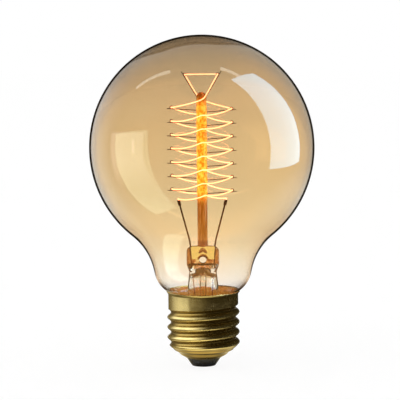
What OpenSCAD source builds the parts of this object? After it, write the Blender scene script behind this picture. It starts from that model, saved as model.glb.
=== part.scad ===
// Filament lamp with a globe envelope and an E27 screw cap.
// The lamp stands on its centre contact: +Z is the lamp's axis, cap down, globe up.
// Left and right are -X and +X, the front is -Y.

/* [Globe] */
// Outside diameter of the globe
globe_d = 80.8; // [74:0.2:90]
// Where the globe gives way to the neck, in degrees from the lamp's axis
globe_leave_deg = 39; // [36:0.5:42]
// Wall of the blown glass
glass_wall = 0.9; // [0.6:0.1:1.4]

/* [Neck] */
// Radius of the hollow curve under the globe
waist_r = 22.3; // [19:0.1:26]
// Slope of the waist, in degrees from the lamp's axis
waist_deg = 13.5; // [10:0.5:17]
// Length of the straight stretch of the waist
waist_len = 2.1; // [1:0.1:4]
// Radius of the shoulder that turns in to the cap
shoulder_r = 10.3; // [9:0.1:12]
// Gap between the neck tube and the roots of the cap's thread, outside the brass
neck_gap = 1.1; // [1:0.1:1.6]
// Radius between the shoulder and the neck tube
neck_fillet_r = 1.8; // [1.2:0.1:2.4]
// Depth of the neck's sealed end below the cap's rim
neck_depth = 12; // [10:0.5:14]

/* [Cap] */
// Height of the cap's rim above the insulator's foot
cap_h = 26.85; // [26:0.05:28]
// Thickness of the sheet brass
cap_sheet = 0.3; // [0.2:0.05:0.4]
// Diameter of the plain skirt above the thread
skirt_d = 25.2; // [24.8:0.1:25.6]
// How far the rim flares out of the skirt
rim_out = 0.6; // [0.4:0.05:0.9]
// Height of the flare at the rim
rim_flare_h = 1; // [0.6:0.1:1.6]
// How far the corner above the brass shoulder lies inside the skirt
corner_in = 1.95; // [1.8:0.05:2.3]
// Height of that corner above the insulator's foot
corner_h = 6.1; // [5.6:0.1:6.4]
// Diameter of the brass at its lower edge
edge_d = 13.3; // [12.6:0.1:14]
// Height of the lower edge above the insulator's foot
edge_h = 3.15; // [2.6:0.05:3.6]
// Height of the two beads rolled round the cap's shoulder
bead_h = 0.2; // [0.1:0.05:0.3]

/* [Thread] */
// How far the rolled thread's crests stand out of the skirt
crest_out = 0.45; // [0.4:0.05:0.6]
// How far its roots lie inside the skirt
root_in = 0.9; // [0.5:0.05:1]
// Rise of the thread in one turn, seven turns to the inch
thread_pitch = 3.629; // [3.5:0.001:3.7]
// Height at which the thread runs in, above the insulator's foot
thread_foot_h = 6.8; // [6.6:0.1:7.4]
// Height of the plain skirt between the thread and the rim
skirt_len = 4.25; // [3.9:0.05:6.5]

/* [Insulator and contact] */
// Diameter of the insulator's foot
foot_d = 8.8; // [8:0.1:10]
// Rounded edge of the foot
foot_edge = 0.5; // [0.3:0.05:0.8]
// Diameter of the contact disc
contact_d = 6.6; // [5.6:0.1:7.4]
// Thickness of the contact disc
contact_t = 0.45; // [0.3:0.05:0.6]
// How far the contact disc stands below the insulator's foot
contact_proud = 0.15; // [0.1:0.05:0.3]
// How far the solder stands below the contact disc
solder_proud = 0.3; // [0.2:0.05:0.6]
// Diameter of the solder's flat end
solder_flat_d = 2.2; // [1.8:0.1:2.6]
// Bore of the contact's eyelet
eyelet_bore_d = 1.5; // [1.2:0.1:1.8]

/* [Stem] */
// Height of the stem above the neck's sealed end
stem_h = 29; // [26:0.5:31]
// Wall of the flare tube
flare_wall = 0.8; // [0.6:0.1:1]
// Diameter of the flare tube under the press
flare_top_d = 9.9; // [9.4:0.1:10.4]
// Diameter of the flare tube where the trumpet begins
flare_low_d = 11.2; // [10.8:0.1:11.8]
// Length of the trumpet
trumpet_h = 13.3; // [11:0.1:14.5]
// Width of the press
press_w = 11.7; // [11.2:0.1:12.4]
// Thickness of the press
press_t = 4.2; // [3.9:0.1:4.6]
// Height of the press
press_h = 8.4; // [7.6:0.1:9]
// Radius of the press's upper corners
press_corner_r = 2.2; // [1.6:0.1:2.6]
// Diameter of the exhaust hole through the press
exhaust_hole_d = 2.7; // [2.2:0.1:3]
// Depth of the exhaust hole's centre below the top of the press
exhaust_hole_depth = 5.3; // [4.8:0.1:5.6]
// Outside diameter of the exhaust tube
exhaust_d = 2.8; // [2.6:0.1:3.2]
// Bore of the exhaust tube
exhaust_bore_d = 1.5; // [1.2:0.1:1.8]
// How far the tipped-off exhaust tube reaches below the neck's end
exhaust_reach = 3; // [2:0.5:4]

/* [Support rod] */
// Diameter of the glass rod
rod_d = 3.6; // [3.4:0.1:4]
// Radius of the melted joint at the rod's foot
rod_foot_r = 0.7; // [0.3:0.1:1]
// Height of the glass rod above the eye of the highest left hook
rod_above = 5.4; // [4.8:0.1:7]

/* [Hooks] */
// Levels of side hooks
hook_levels = 7; // [5:1:7]
// Rise from one level to the next
hook_rise = 4.89; // [4.6:0.01:5]
// Height of the lowest left hook's eye above the press
first_eye_h = 20.1; // [19:0.1:21]
// How much lower the right hooks sit than the left ones
right_drop = 0.6; // [0:0.1:1]
// Reach of the hooks' eyes from the lamp's axis
eye_reach = 10.8; // [10:0.1:12]
// Upward slope of the hooks, in degrees
hook_slope_deg = 4; // [2:0.5:8]
// Diameter of the hook wire
hook_wire_d = 0.28; // [0.2:0.02:0.32]
// Clearance between the filament and the curl that holds it
curl_gap = 0.1; // [0.06:0.01:0.16]
// Tail of the hook wire beyond its curl
hook_tail = 1.6; // [1:0.1:2.2]
// How far each hook is melted into the rod
hook_seat = 1; // [0.6:0.1:1.2]
// Reach of the two top hooks' eyes from the lamp's axis
top_reach = 5.9; // [5:0.1:7]
// Height of the top hooks' eyes above the rod
top_rise = 6.3; // [5.5:0.1:8]

/* [Filament] */
// Diameter of the filament
filament_d = 0.5; // [0.4:0.02:0.56]
// How far the filament stands off the rod's surface at the middle of a span
filament_clear = 1.4; // [1:0.1:2.4]
// Sag of each half of a span
filament_sag = 0.7; // [0:0.05:1]

/* [Leads] */
// Diameter of the inner leads
lead_d = 0.6; // [0.5:0.05:0.8]
// Distance between the leads where they leave the press
lead_gap = 8.8; // [8.2:0.1:9]
// Distance between the leads where they leave the press below, in the flare tube
lead_gap_low = 7.4; // [6.6:0.1:7.6]
// Distance between the tips of the inner leads
tip_gap = 16.6; // [15:0.2:18]
// Height of the tips of the inner leads above the press
tip_h = 15.1; // [14:0.1:16]
// How far an inner lead is sealed into the press
lead_seat = 1; // [0.6:0.1:1.4]
// Diameter of the clamp on each tip
clamp_d = 1.1; // [1:0.05:1.3]
// Length of the clamp on each tip
clamp_len = 2; // [1.6:0.1:2.6]
// Diameter of the copper seal wires in the press
seal_wire_d = 0.5; // [0.4:0.05:0.6]
// Diameter of the outer leads
outer_lead_d = 0.4; // [0.3:0.02:0.44]
// Clearance of a wire in its hole
wire_gap = 0.03; // [0.02:0.01:0.06]

/* [Cement] */
// Depth of the cement's upper face below the rim
cement_drop = 0.5; // [0.4:0.1:1.4]
// Height of the cement ring
cement_h = 7; // [5:0.5:8]
// Gap that is left round cement, glass and brass where they seat
seat_gap = 0.04; // [0.02:0.01:0.08]

/* [Hidden] */
levels = [1:hook_levels];
sides = [-1, 1];
function side_name(s) = s < 0 ? "left" : "right";

round_fn = 96;      // facets of a revolved outline
wire_fn = 24;       // facets of a drilled hole or a small round
arc_step = 5;       // degrees between the points of an outline's arc
turn_fn = 36;       // columns round the rolled brass
turn_cos = cos(180 / turn_fn);

// Heights, from the flat end of the solder upwards
foot_z = solder_proud + contact_proud;
rim_z = foot_z + cap_h;
neck_end_z = rim_z - neck_depth;
press_z = neck_end_z + stem_h;
press_foot_z = press_z - press_h;
below_stem_z = neck_end_z - exhaust_reach;
rod_top_z = press_z + first_eye_h + (hook_levels - 1) * hook_rise + rod_above;

function unit(v) = v / norm(v);
function mix(a, b, t) = a + (b - a) * t;
function clamped(t) = max(0, min(1, t));
function eased(t) = let(c = clamped(t)) c * c * (3 - 2 * c);
// Points of an arc from one angle to another, both in degrees
function arc(centre, r, from, to) =
  let(n = max(1, ceil(abs(to - from) / arc_step)))
  [for (i = [0:n]) let(a = mix(from, to, i / n)) centre + r * [cos(a), sin(a)]];

// The sheet's thickness as it is measured towards the axis, through the slanting thread
radial_sheet = cap_sheet * 1.5;
skirt_r = skirt_d / 2;
root_r = skirt_r - root_in;
thread_head_h = cap_h - skirt_len;

// Envelope: tangent arcs, as [radius, height]. The globe's centre is worked out from the rim,
// on which the shoulder rests.
globe_r = globe_d / 2;
neck_r = root_r - neck_gap;
waist_c = (globe_r + waist_r) * [sin(globe_leave_deg), -cos(globe_leave_deg)];
waist_end = waist_c - waist_r * [cos(waist_deg), -sin(waist_deg)];
shoulder_start = waist_end - waist_len * [sin(waist_deg), cos(waist_deg)];
shoulder_c = shoulder_start - shoulder_r * [cos(waist_deg), -sin(waist_deg)];
fillet_x = neck_r + neck_fillet_r;
fillet_turn = acos((fillet_x - shoulder_c[0]) / (shoulder_r + neck_fillet_r));
fillet_c = [fillet_x, shoulder_c[1] - (shoulder_r + neck_fillet_r) * sin(fillet_turn)];
rest_r = (skirt_r + rim_out - radial_sheet) * turn_cos - seat_gap;
rest_turn = acos((rest_r - shoulder_c[0]) / shoulder_r);
globe_z = rim_z - (shoulder_c[1] - shoulder_r * sin(rest_turn));

// Outline of the envelope at a depth inside its outer surface, from the crown down to the neck's end
function envelope_line(depth) = concat(
  arc([0, 0], globe_r - depth, 90, globe_leave_deg - 90),
  arc(waist_c, waist_r + depth, 90 + globe_leave_deg, 180 - waist_deg),
  arc(shoulder_c, shoulder_r - depth, -waist_deg, -fillet_turn),
  arc(fillet_c, neck_fillet_r + depth, 180 - fillet_turn, 180),
  [[neck_r - depth, neck_end_z - globe_z]]);
function reversed(list) = [for (i = [len(list) - 1:-1:0]) list[i]];

module glass_envelope() {
  color([0.86, 0.72, 0.48, 0.35]) translate([0, 0, globe_z]) rotate_extrude($fn = round_fn)
    polygon(concat(envelope_line(0), reversed(envelope_line(glass_wall))));
}

// Stem: flare tube, trumpet and press
flare_top_r = flare_top_d / 2;
flare_low_r = flare_low_d / 2;
lip_r = neck_r - glass_wall;
trumpet_z = neck_end_z + trumpet_h;
lip_low_z = neck_end_z - flare_wall;
roof_drop = 1.2;      // from the foot of the press down to the roof of the flare tube
roof_z = press_foot_z - roof_drop;
roof_r = flare_top_r - flare_wall;
roof_edge = 0.6;      // rounded edge of the roof
dome_r = 2.9;         // rounded shoulder of the tube under the press
dome_drop = 1.5;      // from the foot of the press down to where the tube turns in
dome_z = press_foot_z - dome_drop;
dome_in = press_t / 2 - 0.1;
press_rise = 1.8;     // height at which the press reaches its full width

// Quarter of an ellipse from the tube out to the lip that is fused to the neck
function trumpet_line(r_in, drop) =
  [for (a = [0:9:90]) [lip_r - (lip_r - r_in) * cos(a), trumpet_z - drop * sin(a)]];
flare_outer = concat(
  [[0, dome_z + dome_r], [dome_in, dome_z + dome_r]],
  arc([flare_top_r - dome_r, dome_z], dome_r, 75, 0),
  trumpet_line(flare_low_r, trumpet_h),
  [[neck_r, neck_end_z], [neck_r, lip_low_z], [0, lip_low_z]]);
flare_inner = concat(
  [[0, roof_z]],
  arc([roof_r - roof_edge, roof_z - roof_edge], roof_edge, 90, 0),
  trumpet_line(flare_low_r - flare_wall, trumpet_h + flare_wall),
  [[lip_r, lip_low_z - 1], [0, lip_low_z - 1]]);

// A wire or a hole straight from one point to another
module rod_between(a, b, r) {
  v = b - a;
  translate(a) rotate([0, acos(v[2] / norm(v)), atan2(v[1], v[0])])
    cylinder(r = r, h = norm(v), $fn = wire_fn);
}
lead_stub = 0.4;      // straight end of a lead above the press
function lead_top(s) = [s * lead_gap / 2, 0, press_z];
function lead_joint(s) = lead_top(s) - [0, 0, lead_seat];
function lead_exit(s) = [s * lead_gap_low / 2, 0, roof_z];
butt_gap = 2 * wire_gap;    // between the ends of two wires that are welded end to end

module press_outline() {
  half = press_w / 2;
  foot_half = flare_top_r - 0.15;
  full = press_foot_z + press_rise;
  polygon(concat(
    [[foot_half, dome_z], [half, full]],
    arc([half - press_corner_r, press_z - press_corner_r], press_corner_r, 0, 90),
    arc([press_corner_r - half, press_z - press_corner_r], press_corner_r, 90, 180),
    [[-half, full], [-foot_half, dome_z]]));
}

module press() {
  intersection() {
    translate([0, press_t, 0]) rotate([90, 0, 0]) linear_extrude(2 * press_t) press_outline();
    translate([0, 0, press_foot_z - 2]) linear_extrude(press_h + 4) {
      square([press_w - press_t, press_t], center = true);
      for (s = sides) translate([s * (press_w - press_t) / 2, 0])
        circle(d = press_t + 0.01, $fn = wire_fn * 2);
    }
  }
}

module stem_flare() {
  hole_z = press_z - exhaust_hole_depth;
  color([0.9, 0.88, 0.8, 0.5]) difference() {
    union() {
      rotate_extrude($fn = round_fn) polygon(flare_outer);
      press();
    }
    rotate_extrude($fn = round_fn) polygon(flare_inner);
    translate([0, press_t, hole_z]) rotate([90, 0, 0])
      cylinder(d = exhaust_hole_d, h = 2 * press_t, $fn = wire_fn);
    translate([0, 0, roof_z - 1])
      cylinder(d = exhaust_bore_d, h = hole_z - roof_z + 1, $fn = wire_fn);
    for (s = sides) {
      rod_between(lead_joint(s), lead_top(s) + [0, 0, 1], lead_d / 2 + wire_gap);
      rod_between(lead_joint(s) + [0, 0, wire_gap],
                  mix(lead_joint(s), lead_exit(s), 1.2), seal_wire_d / 2 + wire_gap);
    }
  }
}

module exhaust_tube() {
  top = roof_z - seat_gap;
  tip = below_stem_z;
  outer_r = exhaust_d / 2;
  bore_r = exhaust_bore_d / 2;
  color([0.92, 0.9, 0.84, 0.5]) rotate_extrude($fn = round_fn)
    polygon(concat(
      [[bore_r, top], [outer_r, top]],
      arc([0, tip + outer_r * 1.6], outer_r, 0, -45),
      [[0, tip], [0, tip + outer_r], [bore_r, tip + outer_r * 2.2]]));
}

// Hooks, drawn in the plane that holds the lamp's axis: u is outwards, the second value is up
hook_wire_r = hook_wire_d / 2;
curl_shift = hook_wire_d * 1.5;    // from one side of the curl to the other
curl_r = filament_d / 2 + hook_wire_r + curl_gap;
function eye(s, k) =
  [eye_reach, press_z + first_eye_h + (hook_levels - k) * hook_rise - (s > 0 ? right_drop : 0)];
top_eye = [top_reach, rod_top_z + top_rise];
top_foot = [rod_d / 4, rod_top_z - hook_seat - 1.9];
side_dir = [cos(hook_slope_deg), sin(hook_slope_deg)];
// Direction of the top hooks, which pass under their eyes
top_chord = top_eye - top_foot;
top_slope = atan2(top_chord[1], top_chord[0]) - asin(curl_r / norm(top_chord));
top_dir = [cos(top_slope), sin(top_slope)];
function left_of(d) = [-d[1], d[0]];
// Where the straight wire passes under an eye
function under(e, d) = e - curl_r * left_of(d);
// Start of a side hook, sealed in the rod
function side_foot(e) =
  let(p = under(e, side_dir), run = (p[0] - rod_d / 2 + hook_seat) / side_dir[0])
  p - run * side_dir;
// Path of a hook as [u, across, up]: shank, one curl round the filament, tail
function hook_path(foot, e, d) =
  let(p = under(e, d), n = left_of(d), lift = curl_shift / 2)
  concat(
    [[foot[0], -lift, foot[1]]],
    [for (i = [0:8]) let(a = 45 * i, q = e + curl_r * (d * sin(a) - n * cos(a)))
      [q[0], mix(-lift, lift, i / 8), q[1]]],
    [[p[0] + d[0] * hook_tail, lift, p[1] + d[1] * hook_tail]]);
function on_side(path, s) = [for (p = path) [s * p[0], s * p[1], p[2]]];

// A round wire swept along a path: each ring stands square to it, with no twist between rings
function tangents(path) = [for (i = [0:len(path) - 1])
  unit(path[min(i + 1, len(path) - 1)] - path[max(i - 1, 0)])];
function across(v, t) = unit(v - (v * t) * t);
function normals(t, first) =
  [for (i = 0, n = across(first, t[0]); i < len(t);
        i = i + 1, n = i < len(t) ? across(n, t[i]) : n) n];
module wire(path, d, fn = 6, first = [0.1, 0.2, 1]) {
  t = tangents(path);
  n = normals(t, first);
  rings = len(path);
  points = [for (i = [0:rings - 1], j = [0:fn - 1])
    let(a = 360 * j / fn) path[i] + d / 2 * (n[i] * cos(a) + cross(t[i], n[i]) * sin(a))];
  walls = [for (i = [0:rings - 2], j = [0:fn - 1])
    let(a = i * fn + j, b = i * fn + (j + 1) % fn)
    each [[a, a + fn, b], [b, a + fn, b + fn]]];
  start = [for (j = [1:fn - 2]) [0, j, j + 1]];
  last = (rings - 1) * fn;
  end = [for (j = [1:fn - 2]) [last, last + j + 1, last + j]];
  polyhedron(points, concat(walls, start, end));
}

module side_hook(s, k) {
  color([0.32, 0.28, 0.25])
    wire(on_side(hook_path(side_foot(eye(s, k)), eye(s, k), side_dir), s), hook_wire_d);
}
module top_hook(s) {
  color([0.32, 0.28, 0.25]) wire(on_side(hook_path(top_foot, top_eye, top_dir), s), hook_wire_d);
}

module support_rod() {
  rod_r = rod_d / 2;
  hole_r = hook_wire_r + wire_gap;
  color([0.95, 0.75, 0.35, 0.6]) difference() {
    rotate_extrude($fn = round_fn) polygon(concat(
      [[0, press_z]],
      arc([rod_r + rod_foot_r, press_z + rod_foot_r], rod_foot_r, -90, -180),
      arc([0, rod_top_z - rod_r], rod_r, 0, 90)));
    for (s = sides) {
      for (k = levels) hook_hole(s, side_foot(eye(s, k)), side_dir, hole_r);
      hook_hole(s, top_foot, top_dir, hole_r);
    }
  }
}
module hook_hole(s, foot, d, r) {
  start = on_side([[foot[0], -curl_shift / 2, foot[1]]], s)[0];
  way = [s * d[0], 0, d[1]];
  rod_between(start - wire_gap * way, start + rod_d * way, r);
}

// Filament: one wire. Each span goes half round the rod from a hook to the next lower one on
// the other side, so the two strands make a double helix. It starts at the right lead, climbs,
// crosses over the two top hooks and comes down to the left lead.
strand_r = rod_d / 2 + filament_clear;
span_steps = 12;
cross_reach = 1.4;    // where a strand crosses the rod's top, from the lamp's axis
cross_drop = 1.6;     // and below the rod's top
tail_out = 0.5;       // straight end of the filament above its clamp
eye_pass = 0.45;      // half of the way along which a top hook holds the wire
function sag(t) = let(u = (2 * t) % 1) 4 * filament_sag * u * (1 - u);
// Points from one place to a lower one, round the front (way -1) or the back (way 1)
function span(high, low, way) = [for (i = [1:span_steps - 1])
  let(t = i / span_steps, f = (1 - cos(180 * t)) / 2)
  [mix(high[0], low[0], f), way * strand_r * sin(180 * t), mix(high[2], low[2], f) - sag(f)]];
function at_eye(s, k) = let(e = eye(s, k)) [s * e[0], 0, e[1]];
// The filament's end stands in the clamp on a lead's tip
function tip(s) = [s * tip_gap / 2, 0, press_z + tip_h];
function lead_way(s) = unit(tip(s) - lead_top(s) - [0, 0, lead_stub]);
function tail_end(s) = tip(s) + lead_way(s) * wire_gap;
function tail_bend(s) = tip(s) + lead_way(s) * (clamp_len / 2 + tail_out);
// One strand from a top hook down to a lead. s is the side of its top hook.
function strand(s) = concat(
  corner(s), [mix(corner(s)[2], crossing(s), 0.5), crossing(s)], top_span(s),
  [for (k = levels) let(side = hook_side(s, k), from = at_eye(side, k))
    each concat([from], span(from, k < hook_levels ? at_eye(-side, k + 1) : tail_bend(-side), -side))],
  tail(-hook_side(s, hook_levels)));
function tail(s) = [tail_bend(s), mix(tail_bend(s), tail_end(s), 0.5), tail_end(s)];
// Each strand meets the opposite hook of level 1 first
function hook_side(s, k) = k % 2 == 1 ? -s : s;
// The wire turns in a top hook: it comes in from the other top hook and goes out to the rod
function corner(s) = [for (v = [[-0.1, s, 0.05], [0, 0, 0], [-0.1, -s, -0.15]])
  [s * (top_eye[0] + v[0]), v[1] * eye_pass, top_eye[1] + v[2]]];
// Beside the rod's top a strand passes to the front (right one) or to the back (left one)
function crossing(s) = [s * cross_reach, -s * strand_r, rod_top_z - cross_drop];
function top_span(s) = let(to = at_eye(-s, 1), from = crossing(s))
  [for (i = [1:8]) let(t = i / 9)
    [mix(from[0], to[0], sin(90 * t)), from[1] * cos(90 * t),
      mix(from[2], to[2], pow(sin(90 * t), 0.6))]];
filament_path = concat(reversed(strand(1)), strand(-1));
// Least gap of the filament to itself, between rings that are well apart along the wire
function self_gap(p, skip) = min([for (i = [0:len(p) - 1], j = [i + skip:1:len(p) - 1])
  norm(p[i] - p[j])]) - filament_d;
echo(filament_rings = len(filament_path), filament_self_gap = self_gap(filament_path, 8));

module filament() {
  color([1, 0.8, 0.4]) wire(filament_path, filament_d);
}

// Leads
module inner_lead(s) {
  color([0.55, 0.52, 0.5])
    wire([lead_joint(s), lead_top(s), lead_top(s) + [0, 0, lead_stub], tip(s)], lead_d, 8);
}
module filament_clamp(s) {
  way = lead_way(s);
  color([0.45, 0.42, 0.4]) difference() {
    rod_between(tip(s) - way * clamp_len / 2, tip(s) + way * clamp_len / 2, clamp_d / 2);
    rod_between(tip(s) - way * clamp_len, tip(s), lead_d / 2 + wire_gap);
    rod_between(tip(s) - way * wire_gap, tip(s) + way * clamp_len, filament_d / 2 + wire_gap);
  }
}
module seal_wire(s) {
  color([0.7, 0.3, 0.16])
    rod_between(lead_joint(s) - [0, 0, butt_gap], lead_exit(s), seal_wire_d / 2);
}

// The left lead goes down to the centre contact, past the exhaust tube
solder_plug_h = 0.9;
contact_z = foot_z - contact_proud;
lead_end_z = contact_z + solder_plug_h;
module contact_lead() {
  start = lead_exit(-1) - [0, 0, butt_gap];
  color([0.8, 0.45, 0.25]) wire([
    start, start - [0, 0, 1.5],
    [-2.9, 0.3, neck_end_z + 10], [-2.6, 0.6, neck_end_z + 4], [-2.5, 0.4, below_stem_z],
    [-1.3, 0.1, below_stem_z - 2.2], [0, 0, below_stem_z - 3.6], [0, 0, lead_end_z]],
    outer_lead_d, 8, [0, 1, 0]);
}
// The right lead goes round the neck's end and up between glass and brass, to the rim at the back
weld_r = 0.5;
weld_drop = 1.7;      // from the rim down to the weld
gap_r = neck_r + outer_lead_d / 2 + 3 * seat_gap;
weld_y = skirt_r * turn_cos - radial_sheet - weld_r;
weld_z = rim_z - weld_drop;
module shell_lead() {
  start = lead_exit(1) - [0, 0, butt_gap];
  under = lip_low_z - outer_lead_d;
  color([0.8, 0.45, 0.25]) wire([
    start, start - [0, 0, 1.5],
    [3.3, 0.8, neck_end_z + 10], [3.2, lip_r - 7.3, neck_end_z + 4],
    [2.6, lip_r - 5.1, lip_low_z], [1.4, lip_r - 2.1, under - 0.2],
    [0.6, lip_r - 0.3, under - 0.2], [0.1, gap_r, under + 0.2],
    [0, gap_r, neck_end_z + 1], [0, gap_r, weld_z - 2.2],
    [0, weld_y, weld_z - weld_r - outer_lead_d / 2]],
    outer_lead_d, 8, [0, 1, 0]);
}
module shell_weld() {
  color([0.75, 0.75, 0.77]) translate([0, weld_y, weld_z]) sphere(r = weld_r, $fn = wire_fn);
}

// Brass shell, rolled from sheet. cap_line is its plain outline below the thread, as
// [radius, height above the foot]: a slanting shoulder with two beads, then up to the skirt.
edge_p = [edge_d / 2, edge_h];
corner_p = [skirt_r - corner_in, corner_h];
slant = unit(corner_p - edge_p);
slant_out = [slant[1], -slant[0]];
bead_pitch = 0.62;    // of the slanting length
first_bead = 0.36;
function bead(t) = bead_h * (1 + cos(360 * (t - first_bead) / bead_pitch)) / 2;
rise_p = [skirt_r, corner_h + (skirt_r - corner_p[0]) * 1.1];
slant_steps = 12;
rise_steps = 4;
thread_rows = 36;
above_thread = 1.1;   // rows go this far above the thread, and the cement is narrower as far
flare_z = cap_h - rim_flare_h;
shoulder_line = [for (i = [0:slant_steps]) let(t = i / slant_steps)
  mix(edge_p, corner_p, t) + bead(t) * slant_out];
rise_line = [for (i = [1:rise_steps]) let(t = i / rise_steps)
  [mix(corner_p[0], rise_p[0], sin(90 * t)), mix(corner_p[1], rise_p[1], t)]];
thread_line = [for (i = [1:thread_rows])
  [skirt_r, mix(rise_p[1], thread_head_h + above_thread, i / thread_rows)]];
rim_line = [[skirt_r, flare_z], [skirt_r + rim_out * 0.3, mix(flare_z, cap_h, 0.5)],
            [skirt_r + rim_out, cap_h]];
cap_line = concat(shoulder_line, rise_line, thread_line, rim_line);
// The way out of the sheet at each point of the outline. The rim is cut square.
function line_out(p, i) = i == len(p) - 1 ? [1, 0]
  : let(v = unit(p[i + 1] - p[max(i - 1, 0)])) [v[1], -v[0]];

// Thread: crests stand out of the skirt's radius, roots go in, each fading at its two ends
crest_start_h = 8.6;  // height of a crest on the right side
crest_share = 0.25;   // raises the line that parts crest from root: crests are the narrower
crest_sharp = 1.2;
root_sharp = 0.8;
run_h = 1.2;          // rise over which the thread runs in and out
function turn(a, h) = (h - crest_start_h) / thread_pitch - a / 360;
function faded(h, head) = eased((h - thread_foot_h) / run_h) * eased((head - h) / run_h);
function wave(a, h) =
  let(t = turn(a, h), c = cos(360 * t) - crest_share,
      crest_h = crest_start_h + thread_pitch * (round(t) + a / 360),
      root_h = crest_start_h + thread_pitch * (floor(t) + 0.5 + a / 360))
  c > 0 ? crest_out * pow(c / (1 - crest_share), crest_sharp)
            * faded(crest_h, thread_head_h - thread_pitch / 2)
        : -root_in * pow(-c / (1 + crest_share), root_sharp) * faded(root_h, thread_head_h);

module cap_shell() {
  rows = len(cap_line);
  outs = [for (i = [0:rows - 1]) line_out(cap_line, i)];
  sheet = [for (v = outs) v[0] > 0.99 ? radial_sheet : cap_sheet];
  function shell_point(i, j, within) =
    let(a = 360 * j / turn_fn, p = cap_line[i] - within * sheet[i] * outs[i],
        r = p[0] + wave(a, cap_line[i][1]))
    [r * cos(a), r * sin(a), foot_z + p[1]];
  points = [for (within = [0, 1], i = [0:rows - 1], j = [0:turn_fn - 1])
    shell_point(i, j, within)];
  inner = rows * turn_fn;
  function at(i, j, base = 0) = base + i * turn_fn + j % turn_fn;
  function quad(a, b, c, d) = [[a, b, c], [a, c, d]];
  outside = [for (i = [0:rows - 2], j = [0:turn_fn - 1])
    each quad(at(i, j), at(i + 1, j), at(i + 1, j + 1), at(i, j + 1))];
  inside = [for (i = [0:rows - 2], j = [0:turn_fn - 1])
    each quad(at(i, j, inner), at(i, j + 1, inner), at(i + 1, j + 1, inner), at(i + 1, j, inner))];
  edge = [for (j = [0:turn_fn - 1])
    each quad(at(0, j), at(0, j + 1), at(0, j + 1, inner), at(0, j, inner))];
  top = rows - 1;
  rim = [for (j = [0:turn_fn - 1])
    each quad(at(top, j), at(top, j, inner), at(top, j + 1, inner), at(top, j + 1))];
  color([0.72, 0.6, 0.25]) polyhedron(points, concat(outside, inside, edge, rim));
}

// Insulator: black glass moulded into the brass, round the contact's eyelet
eyelet_r = eyelet_bore_d / 2 + 0.5;
eyelet_h = 3.4;
module cap_insulator() {
  back_off = cap_sheet + seat_gap;
  inside_edge = (edge_p - back_off * slant_out) * turn_cos;
  inside_corner = corner_p - back_off * slant_out;
  lid_h = corner_h + 0.5;
  color([0.1, 0.1, 0.1]) translate([0, 0, foot_z]) difference() {
    rotate_extrude($fn = round_fn) polygon(concat(
      [[0, 0]],
      arc([foot_d / 2 - foot_edge, foot_edge], foot_edge, -90, -35),
      [[edge_p[0] - back_off, edge_h - seat_gap],
       [edge_p[0] - back_off, inside_edge[1] / turn_cos],
       [inside_corner[0] * turn_cos - 0.1, inside_corner[1]],
       [inside_corner[0] * turn_cos - 0.1, lid_h], [0, lid_h]]));
    translate([0, 0, -1]) cylinder(r = eyelet_r + seat_gap, h = lid_h + 2, $fn = wire_fn);
    translate([0, 0, -1]) cylinder(d = contact_d + 2 * seat_gap, h = 1 + contact_t - contact_proud,
                                   $fn = wire_fn * 2);
  }
}
module contact_eyelet() {
  color([0.75, 0.62, 0.3]) translate([0, 0, contact_z]) difference() {
    union() {
      cylinder(d = contact_d, h = contact_t - seat_gap, $fn = wire_fn * 2);
      cylinder(r = eyelet_r, h = eyelet_h, $fn = wire_fn);
    }
    translate([0, 0, -1]) cylinder(d = eyelet_bore_d, h = eyelet_h + 2, $fn = wire_fn);
  }
}
module contact_solder() {
  plug_r = eyelet_bore_d / 2 - 0.01;
  flat_r = solder_flat_d / 2;
  spread = flat_r + solder_proud * 1.6;
  color([0.78, 0.78, 0.8]) rotate_extrude($fn = round_fn) polygon([
    [0, 0], [flat_r, 0],
    [mix(flat_r, spread, 0.6), solder_proud * 0.25], [spread, contact_z - 0.01],
    [plug_r, contact_z - 0.01], [plug_r, lead_end_z - seat_gap], [0, lead_end_z - seat_gap]]);
}

// Cement ring between the glass neck and the brass, with a slot for the lead and its weld
module basing_cement() {
  top = rim_z - cement_drop;
  wide_r = skirt_r * turn_cos - radial_sheet - seat_gap;
  narrow_r = root_r * turn_cos - radial_sheet - seat_gap;
  step = foot_z + thread_head_h + above_thread;
  slot = outer_lead_d + 4 * seat_gap;
  color([0.62, 0.36, 0.16]) difference() {
    rotate_extrude($fn = round_fn) difference() {
      polygon([[neck_r - 1, top - cement_h], [narrow_r, top - cement_h], [narrow_r, step],
               [wide_r, step], [wide_r, top], [neck_r - 1, top]]);
      translate([0, globe_z]) polygon(concat(envelope_line(-seat_gap), [[0, neck_end_z - globe_z]]));
    }
    translate([-slot / 2, neck_r - 1, top - cement_h - 1]) cube([slot, 4, cement_h + 2]);
    translate([-weld_r * 1.6, neck_r - 1, weld_z - weld_r * 2.6]) cube([weld_r * 3.2, 4, 5]);
  }
}

glass_envelope();
stem_flare();
exhaust_tube();
support_rod();
filament();
for (s = sides) {
  top_hook(s);
  for (k = levels)
    side_hook(s, k);
  inner_lead(s);
  filament_clamp(s);
  seal_wire(s);
}
contact_lead();
shell_lead();
cap_shell();
cap_insulator();
contact_eyelet();
contact_solder();
shell_weld();
basing_cement();
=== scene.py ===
# Globe filament lamp: the looks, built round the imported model. Lengths are in millimetres.
from math import (acos, asin, atan, atan2, ceil, copysign, cos, degrees, exp, floor, hypot, pi,
                  radians, sin, tan)

import bmesh
import bpy
from mathutils import Matrix, Vector, noise


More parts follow.
